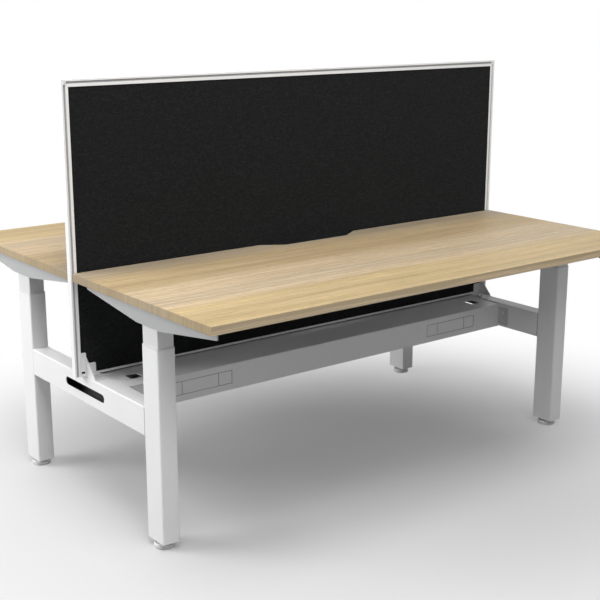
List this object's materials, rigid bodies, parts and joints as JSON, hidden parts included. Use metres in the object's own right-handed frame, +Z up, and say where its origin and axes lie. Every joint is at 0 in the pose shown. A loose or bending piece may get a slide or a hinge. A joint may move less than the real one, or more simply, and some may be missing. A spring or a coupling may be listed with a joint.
{
  "type": "benching desk",
  "caption": "Back-to-back bench of height-adjustable worktops on lifting columns, sharing a cable duct and a slim-framed fabric dividing screen.",
  "frame": {"origin": "on the floor under the middle of the bench", "axes": "+X along the worktops, +Y from the front user to the rear user, +Z up"},
  "size_m": [1.808, 1.528, 1.329],
  "materials": {
    "oak_board": "matt oak grain, lengthwise",
    "white_steel": "white satin powder coat",
    "white_aluminium": "white satin powder coat",
    "white_plastic": "matt",
    "foot_plastic": "matt",
    "steel": "bare",
    "screen_fabric": "woven upholstery cloth",
    "black_plastic": "fine texture",
    "grey_plastic": "matt"
  },
  "bodies": {
    "base_frame": {"leg_front_left": "white_steel", "leg_collar_front_left": "white_plastic", "nut_post_front_left": "steel", "leg_front_right": "white_steel", "leg_collar_front_right": "white_plastic", "nut_post_front_right": "steel", "leg_rear_left": "white_steel", "leg_collar_rear_left": "white_plastic", "nut_post_rear_left": "steel", "leg_rear_right": "white_steel", "leg_collar_rear_right": "white_plastic", "nut_post_rear_right": "steel", "cross_rail_left": "white_steel", "cross_rail_right": "white_steel", "cable_duct_trough": "white_steel", "cable_duct_lid": "white_steel", "screen_frame_top": "white_aluminium", "screen_frame_bottom": "white_aluminium", "screen_frame_left": "white_aluminium", "screen_frame_right": "white_aluminium", "screen_panel": "screen_fabric", "screen_bracket_front_left": "white_steel", "screen_bracket_front_right": "white_steel", "screen_bracket_rear_left": "white_steel", "screen_bracket_rear_right": "white_steel"},
    "foot_front_left": {"foot_front_left": "foot_plastic"},
    "foot_front_right": {"foot_front_right": "foot_plastic"},
    "foot_rear_left": {"foot_rear_left": "foot_plastic"},
    "foot_rear_right": {"foot_rear_right": "foot_plastic"},
    "front_station": {"front_worktop": "oak_board", "front_arm_left": "white_steel", "front_column_left": "white_steel", "front_motor_left": "steel", "front_arm_right": "white_steel", "front_column_right": "white_steel", "front_motor_right": "steel", "front_crossbar_outer": "white_steel", "front_crossbar_inner": "white_steel", "front_control_box": "black_plastic", "front_handset": "black_plastic"},
    "front_spindle_left": {"front_spindle_left": "steel"},
    "front_spindle_right": {"front_spindle_right": "steel"},
    "front_button_down": {"front_button_down": "grey_plastic"},
    "front_button_up": {"front_button_up": "grey_plastic"},
    "rear_station": {"rear_worktop": "oak_board", "rear_arm_left": "white_steel", "rear_column_left": "white_steel", "rear_motor_left": "steel", "rear_arm_right": "white_steel", "rear_column_right": "white_steel", "rear_motor_right": "steel", "rear_crossbar_outer": "white_steel", "rear_crossbar_inner": "white_steel", "rear_control_box": "black_plastic", "rear_handset": "black_plastic"},
    "rear_spindle_left": {"rear_spindle_left": "steel"},
    "rear_spindle_right": {"rear_spindle_right": "steel"},
    "rear_button_down": {"rear_button_down": "grey_plastic"},
    "rear_button_up": {"rear_button_up": "grey_plastic"}
  },
  "joints": [
    {"name": "foot_front_left_screw_out", "type": "slide", "parent": "base_frame", "child": "foot_front_left", "axis": [0, 0, -1], "range_m": [0, 0.012]},
    {"name": "foot_front_right_screw_out", "type": "slide", "parent": "base_frame", "child": "foot_front_right", "axis": [0, 0, -1], "range_m": [0, 0.012]},
    {"name": "foot_rear_left_screw_out", "type": "slide", "parent": "base_frame", "child": "foot_rear_left", "axis": [0, 0, -1], "range_m": [0, 0.012]},
    {"name": "foot_rear_right_screw_out", "type": "slide", "parent": "base_frame", "child": "foot_rear_right", "axis": [0, 0, -1], "range_m": [0, 0.012]},
    {"name": "front_lift", "type": "slide", "parent": "base_frame", "child": "front_station", "axis": [0, 0, 1], "range_m": [-0.05, 0.42]},
    {"name": "front_spindle_left_turn", "type": "hinge", "parent": "front_station", "child": "front_spindle_left", "pos_m": [-0.8415, -0.4045, 0.4], "axis": [0, 0, 1], "range_deg": [-1130, 9455]},
    {"name": "front_spindle_right_turn", "type": "hinge", "parent": "front_station", "child": "front_spindle_right", "pos_m": [0.8415, -0.4045, 0.4], "axis": [0, 0, 1], "range_deg": [-1130, 9455]},
    {"name": "front_button_down_press", "type": "slide", "parent": "front_station", "child": "front_button_down", "axis": [0, 1, 0], "range_m": [0, 0.0015], "stiffness_N_per_m": 1000},
    {"name": "front_button_up_press", "type": "slide", "parent": "front_station", "child": "front_button_up", "axis": [0, 1, 0], "range_m": [0, 0.0015], "stiffness_N_per_m": 1000},
    {"name": "rear_lift", "type": "slide", "parent": "base_frame", "child": "rear_station", "axis": [0, 0, 1], "range_m": [-0.05, 0.42]},
    {"name": "rear_spindle_left_turn", "type": "hinge", "parent": "rear_station", "child": "rear_spindle_left", "pos_m": [-0.8415, 0.4045, 0.4], "axis": [0, 0, 1], "range_deg": [-1130, 9455]},
    {"name": "rear_spindle_right_turn", "type": "hinge", "parent": "rear_station", "child": "rear_spindle_right", "pos_m": [0.8415, 0.4045, 0.4], "axis": [0, 0, 1], "range_deg": [-1130, 9455]},
    {"name": "rear_button_down_press", "type": "slide", "parent": "rear_station", "child": "rear_button_down", "axis": [0, -1, 0], "range_m": [0, 0.0015], "stiffness_N_per_m": 1000},
    {"name": "rear_button_up_press", "type": "slide", "parent": "rear_station", "child": "rear_button_up", "axis": [0, -1, 0], "range_m": [0, 0.0015], "stiffness_N_per_m": 1000}
  ],
  "couplings": [
    {"joint": "front_spindle_left_turn", "follows": "front_lift", "rad_per_m": 392.7},
    {"joint": "front_spindle_right_turn", "follows": "front_lift", "rad_per_m": 392.7},
    {"joint": "rear_spindle_left_turn", "follows": "rear_lift", "rad_per_m": 392.7},
    {"joint": "rear_spindle_right_turn", "follows": "rear_lift", "rad_per_m": 392.7}
  ]
}
